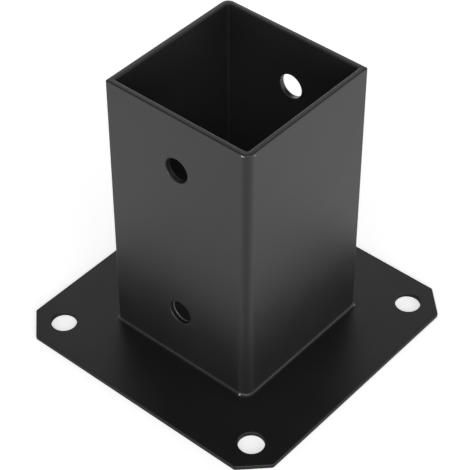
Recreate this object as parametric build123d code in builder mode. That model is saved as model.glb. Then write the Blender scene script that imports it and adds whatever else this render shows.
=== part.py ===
"""A surface mounted timber post base.

A square steel sleeve stands upright on a square base plate and is welded to it
all round its foot. The sleeve is two sheets, each bent to an angle. They meet at
two opposite corners, and are welded there and ground flush. The timber post drops
into the sleeve from above and is held by screws through two opposite walls.
Anchors through the plate's corners hold it down. Millimetres, Z up. The origin is
the centre of the plate's underside.
"""

import os

from build123d import *

# Timber and socket
post_width = 89.0
post_clearance = 0.5

# Sleeve
wall_thickness = 3.5
inner_bend_radius = 1.5
ground_corner_radius = 0.8
sleeve_height = 175.0
rim_edge_radius = 0.8

# Screw holes in the sleeve's front and back walls
screw_hole_diameter = 15.0
upper_hole_to_rim = 35.0
lower_hole_to_plate = 36.0

# Base plate
flange_width = 42.0
plate_thickness = 3.0
corner_cut = 15.0
corner_round = 2.0
plate_edge_radius = 0.6

# Anchor holes near the plate's corners
anchor_hole_diameter = 15.0
anchor_edge_distance = 19.0

# Deburred edge of every drilled hole
hole_edge_break = 0.4

# Fillet weld round the foot of the sleeve
weld_leg = 2.0
weld_hollow = 0.45

# Sizes that follow from the ones above
socket_width = post_width + 2 * post_clearance
sleeve_width = socket_width + 2 * wall_thickness
half_width = sleeve_width / 2
outer_bend_radius = inner_bend_radius + wall_thickness
plate_width = sleeve_width + 2 * flange_width
anchor_spacing = plate_width - 2 * anchor_edge_distance
sleeve_top = plate_thickness + sleeve_height
upper_screw_height = sleeve_top - upper_hole_to_rim
lower_screw_height = plate_thickness + lower_hole_to_plate
seam_centre = half_width - wall_thickness / 2

# Seen from above, the bends lie at the two ends of one diagonal of the sleeve, and
# the welded seams at the two ends of the other.
bend_diagonal = Axis((0, 0, 0), (1, -1, 0))
seam_diagonal = Axis((0, 0, 0), (1, 1, 0))

# Base plate: a square blank with its four corners cut off and softened.
with BuildPart() as base_plate:
    with BuildSketch() as plate_blank:
        Rectangle(plate_width, plate_width)
        chamfer(plate_blank.vertices(), corner_cut)
        fillet(plate_blank.vertices(), corner_round)
    extrude(amount=plate_thickness)
    flat_faces = base_plate.faces().filter_by(Axis.Z)
    fillet(flat_faces.edges(), plate_edge_radius)
    with GridLocations(anchor_spacing, anchor_spacing, 2, 2):
        Hole(anchor_hole_diameter / 2)
    chamfer(base_plate.edges(Select.LAST).filter_by(GeomType.CIRCLE), hole_edge_break)

# Socket: the clear space inside the sleeve, rounded at the two bends.
with BuildSketch(Plane.XY.offset(plate_thickness)) as socket_section:
    Rectangle(socket_width, socket_width)
    socket_corners = socket_section.vertices().sort_by(bend_diagonal)
    fillet((socket_corners[0], socket_corners[-1]), inner_bend_radius)

# Sleeve: the welded tube as a whole, seated on the plate and open at the top.
with BuildPart() as welded_sleeve:
    with BuildSketch(Plane.XY.offset(plate_thickness)) as tube_section:
        Rectangle(sleeve_width, sleeve_width)
        bent_corners = tube_section.vertices().sort_by(bend_diagonal)
        fillet((bent_corners[0], bent_corners[-1]), outer_bend_radius)
        ground_corners = tube_section.vertices().sort_by(seam_diagonal)
        fillet((ground_corners[0], ground_corners[-1]), ground_corner_radius)
        add(socket_section.sketch, mode=Mode.SUBTRACT)
    extrude(amount=sleeve_height)
    fillet(welded_sleeve.faces().sort_by(Axis.Z)[-1].edges(), rim_edge_radius)
    # The screw holes are drilled straight through the front and the back wall.
    with BuildSketch(Plane.XZ) as screw_holes:
        with Locations((0, lower_screw_height), (0, upper_screw_height)):
            Circle(screw_hole_diameter / 2)
    extrude(amount=sleeve_width, both=True, mode=Mode.SUBTRACT)
    chamfer(welded_sleeve.edges(Select.LAST).filter_by(GeomType.CIRCLE), hole_edge_break)

# Front half: the sheet that makes the front wall and, round its bend, the right wall.
with BuildPart() as sleeve_front_half:
    add(welded_sleeve.part)
    split(bisect_by=Plane(origin=(0, 0, 0), z_dir=bend_diagonal.direction))
    with Locations((-seam_centre, -seam_centre), (seam_centre, seam_centre)):
        Box(wall_thickness, wall_thickness, 2 * sleeve_top, mode=Mode.SUBTRACT)

# Back half: the same bent sheet, turned half way round.
with BuildPart() as sleeve_back_half:
    add(sleeve_front_half.part, rotation=(0, 0, 180))

# Left seam: the weld metal that fills the open corner between the two sheets.
with BuildPart() as left_seam_weld:
    add(welded_sleeve.part)
    with Locations((-seam_centre, -seam_centre)):
        Box(wall_thickness, wall_thickness, 2 * sleeve_top, mode=Mode.INTERSECT)

# Right seam: the same weld in the opposite corner.
with BuildPart() as right_seam_weld:
    add(left_seam_weld.part, rotation=(0, 0, 180))

# Foot weld: one slightly hollow fillet carried right round the sleeve's foot. Half
# of the run is swept from the middle of the right wall to the middle of the left
# one, and the other half is the same turned half way round.
with BuildPart() as foot_weld:
    with BuildLine(Plane.XY.offset(plate_thickness)) as half_run:
        FilletPolyline(
            (half_width, 0),
            (half_width, half_width),
            (-half_width, half_width),
            (-half_width, 0),
            radius=(ground_corner_radius, outer_bend_radius),
        )
    bead_root = Plane(origin=(half_width, 0, plate_thickness), x_dir=(1, 0, 0), z_dir=(0, -1, 0))
    with BuildSketch(bead_root) as bead_section:
        with BuildLine() as bead_outline:
            plate_leg = Line((0, 0), (weld_leg, 0))
            wall_leg = Line((0, 0), (0, weld_leg))
            SagittaArc(plate_leg @ 1, wall_leg @ 1, weld_hollow)
        make_face()
    sweep(path=half_run.wires()[0])
    add(foot_weld.part, rotation=(0, 0, 180))

base_plate.part.label = "base_plate"
sleeve_front_half.part.label = "sleeve_front_half"
sleeve_back_half.part.label = "sleeve_back_half"
left_seam_weld.part.label = "left_seam_weld"
right_seam_weld.part.label = "right_seam_weld"
foot_weld.part.label = "foot_weld"

pieces = (
    base_plate.part,
    sleeve_front_half.part,
    sleeve_back_half.part,
    left_seam_weld.part,
    right_seam_weld.part,
    foot_weld.part,
)

os.makedirs("parts", exist_ok=True)
for piece in pieces:
    export_step(piece, f"parts/{piece.label}.step")
    size = piece.bounding_box().size
    print(f"{piece.label}: {size.X:.2f} x {size.Y:.2f} x {size.Z:.2f} mm, {piece.volume:.0f} cubic mm")
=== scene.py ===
# %% [markdown]
# # A powder coated timber post base
#
# The object is a steel sleeve, square in section, that stands on a thin steel plate.
# A timber post drops into the sleeve, and anchors hold the plate down. Every part of it
# is black: the steel was welded up first and then powder coated as one.
#
# The solids come from the CAD model, so their shapes and sizes are settled. This script
# dresses them. It gives the steel its coat, lays a real weld bead round the foot, and
# sets up a pale studio with a camera.

import math

import bmesh
import bpy
from mathutils import Euler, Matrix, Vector, noise


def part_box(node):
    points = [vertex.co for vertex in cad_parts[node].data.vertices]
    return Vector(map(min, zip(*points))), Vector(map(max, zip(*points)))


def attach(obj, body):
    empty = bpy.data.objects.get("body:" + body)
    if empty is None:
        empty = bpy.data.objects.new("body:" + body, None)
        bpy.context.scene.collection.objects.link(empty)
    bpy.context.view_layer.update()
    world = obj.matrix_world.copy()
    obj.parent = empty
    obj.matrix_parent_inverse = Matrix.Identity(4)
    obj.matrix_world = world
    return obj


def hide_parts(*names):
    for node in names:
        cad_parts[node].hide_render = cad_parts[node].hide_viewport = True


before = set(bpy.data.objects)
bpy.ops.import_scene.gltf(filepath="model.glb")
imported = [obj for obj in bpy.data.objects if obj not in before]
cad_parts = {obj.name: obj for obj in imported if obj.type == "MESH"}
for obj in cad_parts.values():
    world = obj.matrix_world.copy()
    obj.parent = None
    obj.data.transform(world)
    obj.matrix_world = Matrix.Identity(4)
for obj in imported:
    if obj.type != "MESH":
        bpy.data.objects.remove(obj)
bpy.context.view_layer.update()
print("CAD nodes:", ", ".join(sorted(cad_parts)))

# %% [markdown]
# ## The measures that the pieces share
#
# Blender works in metres, and so does the frame. A millimetre gets a name, so that the
# sizes below read as they would on a drawing. What the CAD model can tell is read from its
# boxes and not typed again. The foot weld's box gives three sizes at once: where the
# plate's top is, how long the weld's legs are, and how wide the sleeve is. A seam weld is
# as thick as the sheet, so its box gives the wall. Only the radii of the sleeve's corners,
# the bent ones and the ground ones, have to be given here.

# %% Read the sleeve and the weld
mm = 0.001
weld_low, weld_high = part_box("foot_weld")
plate_top = weld_low[2]
weld_leg = weld_high[2] - weld_low[2]
sleeve_half_width = weld_high[0] - weld_leg
seam_low, seam_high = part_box("left_seam_weld")
wall_thickness = seam_high[0] - seam_low[0]
sleeve_top = seam_high[2]
bend_radius = 5 * mm
bend_start = sleeve_half_width - bend_radius
ground_radius = 0.8 * mm
print(f"sleeve {2 * sleeve_half_width / mm:.1f} mm wide, {wall_thickness / mm:.1f} mm thick")
print(f"weld legs {weld_leg / mm:.1f} mm")

# %% [markdown]
# ## A small language for shaders
#
# A shader is a graph of nodes, and its sums are tedious to wire by hand. `Wire` wraps a
# node's output, so that Python's own `+`, `-`, `*`, `**` and `abs` add the Math nodes, and
# four short methods limit and compare. `add_node` makes any other node: its settings are
# set first, because some of them change which sockets it has, and then each socket gets
# a value or a wire.

# %% Wires and nodes
class Wire:
    """A node's output that can stand in a sum."""

    def __init__(self, socket):
        self.socket = socket

    def calculate(self, operation, first, second=0.0):
        tree = self.socket.id_data
        terms = {0: first, 1: second}
        return add_node(tree, "ShaderNodeMath", {"operation": operation}, terms)["Value"]

    def __add__(self, other):
        return self.calculate("ADD", self, other)

    def __sub__(self, other):
        return self.calculate("SUBTRACT", self, other)

    def __rsub__(self, other):
        return self.calculate("SUBTRACT", other, self)

    def __mul__(self, other):
        return self.calculate("MULTIPLY", self, other)

    def __pow__(self, power):
        return self.calculate("POWER", self, power)

    def __abs__(self):
        return self.calculate("ABSOLUTE", self)

    __radd__ = __add__
    __rmul__ = __mul__

    def at_least(self, other):
        return self.calculate("MAXIMUM", self, other)

    def at_most(self, other):
        return self.calculate("MINIMUM", self, other)

    def over(self, limit):
        """1 where the wire is over the limit, 0 elsewhere."""
        return self.calculate("GREATER_THAN", self, limit)

    def under(self, limit):
        """1 where the wire is under the limit, 0 elsewhere."""
        return self.calculate("LESS_THAN", self, limit)


def add_node(tree, kind, settings=None, sockets=None):
    """Adds one node and returns its outputs by name, each wrapped as a wire."""
    made = tree.nodes.new(kind)
    for name, value in (settings or {}).items():
        setattr(made, name, value)
    for key, value in (sockets or {}).items():
        if isinstance(value, Wire):
            tree.links.new(value.socket, made.inputs[key])
        else:
            made.inputs[key].default_value = value
    return {output.name: Wire(output) for output in made.outputs if output.enabled}


def new_material(name):
    """An empty material's node tree, and the material itself."""
    material = bpy.data.materials.new(name)
    material.use_nodes = True
    material.node_tree.nodes.clear()
    return material, material.node_tree


# %% [markdown]
# ## Painted light inside the socket, and the bare specks
#
# Powder coat starts as a charged dust, which flies to the earthed steel and is melted
# there in an oven. Inside the socket the coat is painted paler with depth, slowly at
# first: this is painted light, which stands in for the light that reaches down into the
# socket. And as the coat melts it draws back from a sharp point, which leaves a speck of
# bare steel on the rim and on the weld.
#
# Both could be painted by hand into an image, but each follows from a place on the
# object. The first is a depth below the rim, for places that lie within the walls. The
# second is a distance from the speck's middle. A few sums on the coordinates give both,
# from every side and at any size. The sleeve and the plate are square, so what counts is
# mostly how far a place is from the middle along X and along Y, whichever is larger. A
# quarter of the sheet's thickness is the margin that keeps inside and outside apart.

# %% Find the painted light inside and the bare places
# painted light: the depth over which the socket's inside is painted paler
inside_light_reach = 130 * mm
margin = wall_thickness / 4
within_walls = sleeve_half_width - wall_thickness + margin
over_plate = plate_top - margin


def measure_out(tree, place):
    """The place's axes, and its distances from the middle along X and along Y."""
    axes = add_node(tree, "ShaderNodeSeparateXYZ", None, {0: place})
    return axes, abs(axes["X"]), abs(axes["Y"])


def inside_light_share(tree, place):
    """Painted light inside the socket: 0 at the rim and outside, to 1 at its full reach inside."""
    axes, across, along = measure_out(tree, place)
    inside = across.at_least(along).under(within_walls)
    depth = ((sleeve_top - axes["Z"]) * (1 / inside_light_reach)).at_most(1.0)
    return inside * axes["Z"].over(over_plate) * depth * depth


def bare_share(tree, place, specks):
    """1 on a bare speck, 0 elsewhere. Each speck is (middle, radius)."""
    bare = 0.0
    for middle, radius in specks:
        ends = {0: place, 1: middle}
        gap = add_node(tree, "ShaderNodeVectorMath", {"operation": "DISTANCE"}, ends)["Value"]
        bare = gap.under(radius) + bare
    return bare


# the painted light inside the socket reaches its full grey at this depth
print(f"the coat lightens over {inside_light_reach / mm:.0f} mm of depth")

# %% [markdown]
# ## The marks of the press brake
#
# Each sheet was bent in a press brake, where a punch pushes it into a V shaped die. The
# sheet slides over the die's two shoulders, and they rub a faint, dull line along each
# side of the bend. It shows through the coat as a slightly paler streak. Near the foot,
# where the part is stood down and slid about, the streak is rubbed again and is clearest.
#
# The streaks stand at a known distance from the corner. One sum finds both sides of both
# bends: of a place's distances from the middle along X and Y, the larger must be out at
# the wall and the smaller is compared with where the bend starts. The two bends are
# the corners where X and Y differ in sign, which the product of the two tells.

# %% Find the rubbed lines
mark_width = 2.4 * mm
mark_reach = 100 * mm
least_rubbed = 0.12
above_weld = plate_top + weld_leg


def rubbed_share(tree, place):
    """How rubbed the coat is: 1 at the foot in the middle of a line, 0 beside the lines."""
    axes, across, along = measure_out(tree, place)
    gap = abs(across.at_most(along) - bend_start) * (1 / mark_width)
    share = (1.0 - gap).at_least(0.0)
    outside = across.at_least(along).over(within_walls)
    at_bend = (axes["X"] * axes["Y"]).under(0.0)
    on_sleeve = axes["Z"].over(above_weld)
    rubbed = (1.0 - axes["Z"] * (1 / mark_reach)).at_least(least_rubbed)
    return share * outside * at_bend * on_sleeve * rubbed


print(f"rubbed lines {2 * mark_width / mm:.1f} mm wide")

# %% [markdown]
# ## The powder coat
#
# The melted dust is a plastic skin about a tenth of a millimetre thick. It flows into a
# surface that is nearly smooth and never quite: a fine, soft texture like the skin of an
# orange, a couple of millimetres from crest to crest. Under it the sheet itself is a
# little wavy. The gloss is a satin one. A wall shows the pale floor as a broad, blurred
# sheen, and near the foot it shows the dark plate.
#
# An image could paint this too, but a procedural coat has no seams and no size limit.
# Noise in object coordinates gives both textures, and a fine dust over them, in real
# millimetres. The three feed a bump, and a slow fourth noise lets the gloss and the black
# drift a little, as a hand sprayed coat's do. The black is a very deep one: nearly all
# that is seen of the coat is its gloss.

# %% Mix the coat
coat_black = (0.010, 0.010, 0.0104, 1.0)
coat_worn_black = (0.016, 0.016, 0.0166, 1.0)
rubbed_grey = (0.026, 0.026, 0.0268, 1.0)
# painted light: the paler grey painted deep in the socket, in place of light reaching in
inside_light_grey = (0.32, 0.32, 0.326, 1.0)
bare_steel = (0.56, 0.57, 0.58, 1.0)
wave_size, wave_height = 38 * mm, 0.05 * mm
drift_size = 24 * mm
dust_size, dust_height = 0.45 * mm, 0.0025 * mm
gloss_drift, gloss_dust = 0.10, 0.05


def blend(tree, share, first, second):
    """A colour that goes from the first to the second as the share goes from 0 to 1."""
    colours = {"Factor": share, 6: first, 7: second}
    return add_node(tree, "ShaderNodeMix", {"data_type": "RGBA"}, colours)["Result"]


def powder_coat(name, specks, peel_height, peel_size, roughness):
    """Black powder coat, with its orange peel this high and this far from crest to crest."""
    material, tree = new_material(name)
    place = add_node(tree, "ShaderNodeTexCoord")["Object"]

    def cloud(size, detail):
        shape = {"Vector": place, "Scale": 1 / size, "Detail": detail, "Roughness": 0.5}
        return add_node(tree, "ShaderNodeTexNoise", {"noise_dimensions": "3D"}, shape)["Fac"]

    peel = cloud(peel_size, detail=1.5)
    sheet_waves = cloud(wave_size, detail=1.0)
    drift = cloud(drift_size, detail=3.0)
    dust = cloud(dust_size, detail=2.0)
    height = peel * peel_height + sheet_waves * wave_height + dust * dust_height
    bumps = {"Strength": 1.0, "Distance": 1.0, "Height": height}
    relief = add_node(tree, "ShaderNodeBump", None, bumps)
    drifting = blend(tree, drift, coat_black, coat_worn_black)
    rubbed = blend(tree, rubbed_share(tree, place), drifting, rubbed_grey)
    # painted light: the coat is painted paler deeper in the socket
    lit_inside = blend(tree, inside_light_share(tree, place), rubbed, inside_light_grey)
    bare = bare_share(tree, place, specks)
    coat = add_node(tree, "ShaderNodeBsdfPrincipled", None, {
        "Base Color": blend(tree, bare, lit_inside, bare_steel),
        "Metallic": bare,
        "Roughness": roughness + (drift - 0.5) * gloss_drift + (dust - 0.5) * gloss_dust,
        "IOR": 1.5,
        "Normal": relief["Normal"],
    })
    add_node(tree, "ShaderNodeOutputMaterial", None, {"Surface": coat["BSDF"]})
    print(f"{name}: {len(tree.nodes)} nodes, {len(specks)} bare specks")
    return material


# %% [markdown]
# ## One coat for the sheet and one for the weld
#
# The coat is the same powder everywhere. On the weld it lies over small, smooth ripples,
# so its texture is finer there and its gloss a little higher. The specks sit where an
# edge is sharpest: under the rim on both sides of a bend, and on the weld where it turns
# a corner. Places on the front bend are found by how far round it they are.

# %% Make the two coats
under_rim = sleeve_top - 1.0 * mm
to_face = 0.3 * weld_leg
weld_face_out = sleeve_half_width + to_face
weld_face_up = plate_top + to_face


def on_bend(round_degrees, height):
    """The place this far round the front bend, from the front wall on, and this high."""
    turn = math.radians(round_degrees)
    out = Vector((math.sin(turn), -math.cos(turn), 0)) * bend_radius
    return Vector((bend_start, -bend_start, height)) + out


rim_specks = [
    (on_bend(11, under_rim), 0.45 * mm),
    (on_bend(23, under_rim - 0.1 * mm), 0.28 * mm),
    (on_bend(92, under_rim - 0.4 * mm), 0.32 * mm),
    (Vector((-bend_start, sleeve_half_width, under_rim)), 0.40 * mm),
]
weld_specks = [
    (Vector((bend_start + 0.6 * mm, -weld_face_out, weld_face_up)), 0.6 * mm),
    (Vector((weld_face_out, sleeve_half_width, weld_face_up)), 0.45 * mm),
    (Vector((-sleeve_half_width, -weld_face_out, weld_face_up)), 0.3 * mm),
]
sheet_coat = powder_coat(
    "powder_coat_on_sheet", rim_specks, peel_height=0.018 * mm, peel_size=1.7 * mm, roughness=0.40
)
weld_coat = powder_coat(
    "powder_coat_on_weld", weld_specks, peel_height=0.010 * mm, peel_size=1.1 * mm, roughness=0.34
)

# %% [markdown]
# ## Coat the steel
#
# The sleeve is two bent sheets with a welded seam at each of two corners, but once it is
# coated no join shows. So the four pieces and the plate take one and the same coat, and
# because its noise is laid out in the object's own coordinates, it runs on unbroken from
# piece to piece. The foot weld takes the finer one.

# %% Give each CAD piece its coat
for name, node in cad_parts.items():
    node.data.materials.clear()
    node.data.materials.append(weld_coat if name == "foot_weld" else sheet_coat)
    print("coated", name)

# %% [markdown]
# ## The line of the sleeve's foot
#
# The weld follows the sleeve's outline at its foot: four straights, a wide turn round
# each bend of the sheet, and a tight one round each ground corner. To lay a bead there,
# the outline is walked once round in short steps. Each step needs a place, the way out
# from the wall, and how far the weld has run by then. The run is measured along the
# middle of the bead, a little outside the outline, because that is where its ripples
# are counted.

# %% Walk round the foot
step_length = 0.25 * mm
step_angle = math.radians(5)
bead_middle = weld_leg / 2


def foot_stations():
    """(place, way out, run) for each step round the sleeve's foot, and the whole run."""
    stations = []
    run = 0.0
    for side in range(4):
        turn = Euler((0, 0, side * math.pi / 2)).to_matrix()
        radii = (bend_radius, ground_radius)
        before, after = radii if side % 2 == 0 else reversed(radii)
        straight = 2 * sleeve_half_width - before - after
        steps = round(straight / step_length)
        for step in range(steps):
            along = -sleeve_half_width + before + straight * step / steps
            place = turn @ Vector((sleeve_half_width, along, 0))
            way_out = turn @ Vector((1, 0, 0))
            stations.append((place, way_out, run + straight * step / steps))
        run += straight
        arc = (after + bead_middle) * math.pi / 2
        steps = max(round(arc / step_length), round(math.pi / 2 / step_angle))
        centre = Vector((sleeve_half_width - after, sleeve_half_width - after, 0))
        for step in range(steps):
            angle = math.pi / 2 * step / steps
            way_out = Vector((math.cos(angle), math.sin(angle), 0))
            place = turn @ (centre + after * way_out)
            stations.append((place, turn @ way_out, run + arc * step / steps))
        run += arc
    return stations, run


stations, whole_run = foot_stations()
print(f"{len(stations)} steps round the foot, {whole_run / mm:.0f} mm of weld")

# %% [markdown]
# ## The weld bead
#
# A fillet weld is laid as a chain of small molten pools. Each leaves a crescent shaped
# ripple as it freezes, and surface tension draws the face between the two legs into a
# hollow. The bead is never quite even. Its edges wander, and there is a small lump
# where one run stops and the next starts, at a corner or where a bend begins.
#
# The CAD model has the bead as a plain hollow fillet. Bump alone would leave its outline
# ruler straight, so the bead is built as a mesh: one cross section for each step round
# the foot. A section is a quarter of a circle that is hollow to the corner, flattened a
# little towards a straight chamfer, so that its face meets the wall and the plate almost
# without a step. Its legs grow and shrink as the weld runs, and the crescents come from a
# ripple whose count runs ahead in the middle of the face. The mesh is one closed ring,
# and its two toes are marked sharp, so that the face alone is shaded round.

# %% Lay the bead
ripple_pitch = 1.3 * mm
ripple_height = 0.03 * mm
ripple_lead = 0.45
ripple_drift = 0.6
plate_leg_size, plate_leg_drift = 0.93, 0.06
wall_leg_size, wall_leg_drift = 0.90, 0.08
face_points = 13
hollowness = 0.86
lump_height = 0.30 * mm
lump_size = 2.2 * mm
lump_places = [
    Vector((-sleeve_half_width, -sleeve_half_width, 0)),
    Vector((sleeve_half_width, sleeve_half_width, 0)),
    Vector((bend_start, -sleeve_half_width, 0)),
    Vector((-bend_start, sleeve_half_width, 0)),
]


def wander(run, size, seed):
    """A smooth, closed drift from -1 to 1 along the run, with features of about this size."""
    angle = 2 * math.pi * run / whole_run
    reach = whole_run / (2 * math.pi * size)
    return noise.noise(Vector((reach * math.cos(angle), reach * math.sin(angle), seed)))


def bead_section(place, run):
    """The cross section's corners there, as (out from the wall, up from the plate)."""
    gap = min((place - lump).length for lump in lump_places)
    fullness = math.exp(-((gap / lump_size) ** 2))
    plate_leg = weld_leg * (plate_leg_size + plate_leg_drift * wander(run, size=6 * mm, seed=1.0))
    wall_leg = weld_leg * (wall_leg_size + wall_leg_drift * wander(run, size=5 * mm, seed=2.0))
    ripples = run / ripple_pitch + ripple_drift * wander(run, size=9 * mm, seed=3.0)
    corners = [(0.0, 0.0)]
    for point in range(face_points):
        turn = math.pi / 2 * point / (face_points - 1)
        straight = point / (face_points - 1)
        out = (1 - straight) * (1 - hollowness) + (1 - math.sin(turn)) * hollowness
        up = straight * (1 - hollowness) + (1 - math.cos(turn)) * hollowness
        bulge = math.sin(2 * turn)
        crest = abs(math.sin(math.pi * (ripples - ripple_lead * bulge)))
        swell = (lump_height * fullness + ripple_height * crest) * bulge * math.sqrt(0.5)
        from_wall = max(plate_leg * out + swell, 0.0)
        from_plate = min(max(wall_leg * up + swell, 0.0), weld_leg)
        corners.append((from_wall, from_plate))
    return corners


def lay_bead():
    """The whole bead as one closed mesh."""
    mesh = bmesh.new()
    rings = []
    for place, way_out, run in stations:
        ring = []
        for out, up in bead_section(place, run):
            at = place + way_out * out
            ring.append(mesh.verts.new((at.x, at.y, plate_top + up)))
        rings.append(ring)
    sides = face_points + 1
    for ring, following in zip(rings, rings[1:] + rings[:1]):
        for side in range(sides):
            beside = (side + 1) % sides
            face = mesh.faces.new((ring[side], following[side], following[beside], ring[beside]))
            face.smooth = 0 < side < face_points
    bmesh.ops.recalc_face_normals(mesh, faces=mesh.faces)
    for edge in mesh.edges:
        edge.smooth = all(face.smooth for face in edge.link_faces)
    data = bpy.data.meshes.new("foot_weld_bead")
    mesh.to_mesh(data)
    mesh.free()
    return data


bead = bpy.data.objects.new("foot_weld_bead", lay_bead())
bpy.context.scene.collection.objects.link(bead)
bead.data.materials.append(weld_coat)
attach(bead, "root")
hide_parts("foot_weld")
print(f"bead: {len(bead.data.polygons)} faces, {whole_run / ripple_pitch:.0f} ripples")

# %% [markdown]
# ## The studio floor
#
# The object stands on a plain white sweep that runs out of the picture on every side.
# The floor has a pale, matt finish, and the light brings it to a light grey. What the
# camera sees, and any gloss that mirrors the floor, is given some light of its own, so
# that the background reads as clean white. It comes from the floor's finish and not from
# stronger light, so the object's shadow stays on it and the object isn't washed out.
#
# A real floor is dark in the last few millimetres next to a plate, because little light
# gets in there, and the plate's edge mirrors just that strip. So the extra for gloss
# fades out towards the plate.
#
# A photographer also holds a grey flag low down in front of a black object's rounded
# corner. The corner mirrors it and gets a darker core, so that it reads as round. Here
# the extra for gloss is about halved straight out from the front bend, and comes back to
# both sides of that.

# %% Lay the floor
floor_reach = 4.0
floor_white = (0.88, 0.88, 0.88, 1.0)
plate_half_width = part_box("base_plate")[1][0]
shade_start = 2 * mm
shade_end = 16 * mm
flag_way = Vector((0.650, -0.760, 0.0))
flag_focus = 6.0
flag_depth = 0.55
white = (1.0, 1.0, 1.0, 1.0)
black = (0.0, 0.0, 0.0, 1.0)


def lay_floor():
    mesh = bmesh.new()
    bmesh.ops.create_grid(mesh, x_segments=1, y_segments=1, size=floor_reach)
    data = bpy.data.meshes.new("studio_floor")
    mesh.to_mesh(data)
    mesh.free()
    return data


def flag_share(tree, place):
    """How much the flag takes: most along its way from the middle, fading to both sides."""
    way = add_node(tree, "ShaderNodeVectorMath", {"operation": "NORMALIZE"}, {0: place})
    facing = {0: way["Vector"], 1: flag_way}
    share = add_node(tree, "ShaderNodeVectorMath", {"operation": "DOT_PRODUCT"}, facing)["Value"]
    return share.at_least(0.0) ** flag_focus * flag_depth


def floor_finish(to_camera, to_gloss):
    """Matt white, with this much light of its own for the camera and for gloss."""
    material, tree = new_material("studio_floor")
    rays = add_node(tree, "ShaderNodeLightPath")
    by_camera = rays["Is Camera Ray"]
    by_gloss = rays["Is Glossy Ray"] + rays["Is Transmission Ray"]
    matt = add_node(tree, "ShaderNodeBsdfDiffuse", None, {"Color": floor_white})
    place = add_node(tree, "ShaderNodeTexCoord")["Object"]
    _, across, along = measure_out(tree, place)
    open_share = add_node(tree, "ShaderNodeMapRange", {"interpolation_type": "SMOOTHSTEP"}, {
        "Value": across.at_least(along) - plate_half_width,
        "From Min": shade_start,
        "From Max": shade_end,
    })["Result"]
    shaded = blend(tree, open_share, black, white)
    flagged = blend(tree, flag_share(tree, place), shaded, black)
    seen = add_node(tree, "ShaderNodeEmission", None, {"Strength": by_camera * to_camera})
    mirrored = add_node(tree, "ShaderNodeEmission", None, {
        "Color": flagged,
        "Strength": by_gloss * to_gloss,
    })
    glow = add_node(tree, "ShaderNodeAddShader", None, {0: seen["Emission"], 1: mirrored["Emission"]})
    both = add_node(tree, "ShaderNodeAddShader", None, {0: matt["BSDF"], 1: glow["Shader"]})
    add_node(tree, "ShaderNodeOutputMaterial", None, {"Surface": both["Shader"]})
    return material


floor = bpy.data.objects.new("studio_floor", lay_floor())
bpy.context.scene.collection.objects.link(floor)
floor.data.materials.append(floor_finish(to_camera=0.63, to_gloss=0.555))
print(f"floor {2 * floor_reach:.0f} m wide, shaded to {shade_end / mm:.0f} mm from the plate")

# %% [markdown]
# ## The light
#
# A black, satin object is lit by what it mirrors. From where the camera stands, the
# walls mirror the pale floor in front of them, the plate and the rim mirror the far side
# of the room, and the weld mirrors its left and right sides. Lamps would do for the
# floor, but each would show as a hard bright patch on the gloss. So the room itself
# glows: it is dark, and broad, soft patches of light stand round it on the horizon, as
# big white sheets lit from below would. A faint one overhead keeps the plate readable
# from above.
#
# A glow is brightest straight along its way and fades by a power of the cosine, so a
# high power makes a small patch. The ways are counted round from the front, and the
# camera stands at about 40 degrees. The first glow is on the far side of the object. The
# next two are the main ones, to the left and right of the camera. The fourth is small and
# stands higher, just where the front run of the weld mirrors it, and the two after it
# fill the sides. How bright each is was worked out from the greys in the photograph,
# plate and walls and inside together.

# %% Fill the room with light
def direction(round_degrees, up_degrees):
    """The way to look from the object, this far round from the front and this far up."""
    turn = math.radians(round_degrees)
    rise = math.radians(up_degrees)
    flat = math.cos(rise)
    return Vector((math.sin(turn) * flat, -math.cos(turn) * flat, math.sin(rise)))


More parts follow.
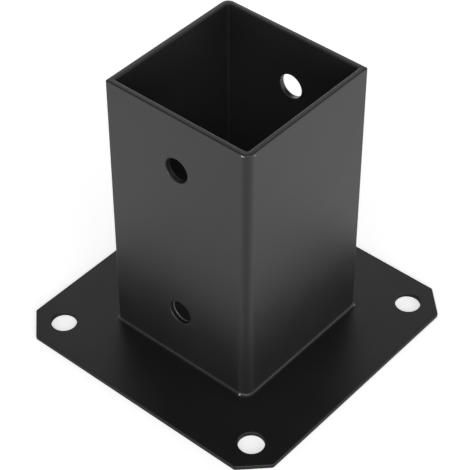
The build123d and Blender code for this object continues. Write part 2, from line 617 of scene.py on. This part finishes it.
def fill_room(glows):
    """A dark room with soft glows. Each is (way, brightness, focus)."""
    world = bpy.data.worlds.new("studio_room")
    world.use_nodes = True
    tree = world.node_tree
    tree.nodes.clear()
    look = add_node(tree, "ShaderNodeTexCoord")["Generated"]
    level = 0.0
    for way, brightness, focus in glows:
        ways = {0: look, 1: way}
        facing = add_node(tree, "ShaderNodeVectorMath", {"operation": "DOT_PRODUCT"}, ways)["Value"]
        level = facing.at_least(0.0) ** focus * brightness + level
    grey = {0: white[:3], "Scale": level}
    glow = add_node(tree, "ShaderNodeVectorMath", {"operation": "SCALE"}, grey)["Vector"]
    room = add_node(tree, "ShaderNodeBackground", None, {"Color": glow, "Strength": 1.0})
    add_node(tree, "ShaderNodeOutputWorld", None, {"Surface": room["Background"]})
    bpy.context.scene.world = world
    print(f"{len(glows)} glows, {len(tree.nodes)} nodes")


fill_room((
    (direction(220, 0), 4.0, 9.0),
    (direction(15, 0), 3.2, 6.0),
    (direction(66, 0), 3.8, 6.0),
    (direction(-35, 30), 0.5, 14.0),
    (direction(130, 0), 1.8, 6.0),
    (direction(-95, 0), 0.5, 6.0),
    (direction(0, 90), 0.2, 10.0),
))

# %% [markdown]
# ## The camera
#
# The photograph looks down on one corner with a long lens. Its place was worked out from
# the object's own straight edges: how far round, how high up and how far away it stood,
# and how far off the object's middle it aimed. A lens of about 135 mm on a full frame
# keeps the upright edges nearly parallel.

# %% Set up the camera
camera_round = math.radians(40.57)
camera_up = math.radians(42.588)
camera_distance = 986.85 * mm
aim_height = 75 * mm
aim_right = -1.094 * mm
aim_above = -8.03 * mm
sensor_width = 36.0
focal_pixels, picture_pixels = 1764.8, 470
nearest_seen = 10 * mm

back = Vector((
    math.sin(camera_round) * math.cos(camera_up),
    -math.cos(camera_round) * math.cos(camera_up),
    math.sin(camera_up),
))
right = (-back).cross(Vector((0, 0, 1))).normalized()
above = right.cross(-back)
lens = bpy.data.cameras.new("studio_camera")
lens.sensor_width = sensor_width
lens.lens = sensor_width * (focal_pixels / picture_pixels)
lens.clip_start = nearest_seen
camera = bpy.data.objects.new("studio_camera", lens)
camera.location = (
    Vector((0, 0, aim_height)) + back * camera_distance + right * aim_right + above * aim_above
)
camera.rotation_euler = (-back).to_track_quat("-Z", "Y").to_euler()
bpy.context.scene.collection.objects.link(camera)
bpy.context.scene.camera = camera
bpy.context.scene.view_settings.view_transform = "Standard"
print(f"lens {lens.lens:.0f} mm, camera {camera.location.length:.2f} m away")

# %% [markdown]
# ## Keep the sizes and finish
#
# Dressing the model must not change its size. Both boxes, the bare CAD model's and the
# dressed one's, are written down side by side, so that they can be compared. The last
# line hands the scene over.

# %% Write the sizes and finish
print("sizes written")
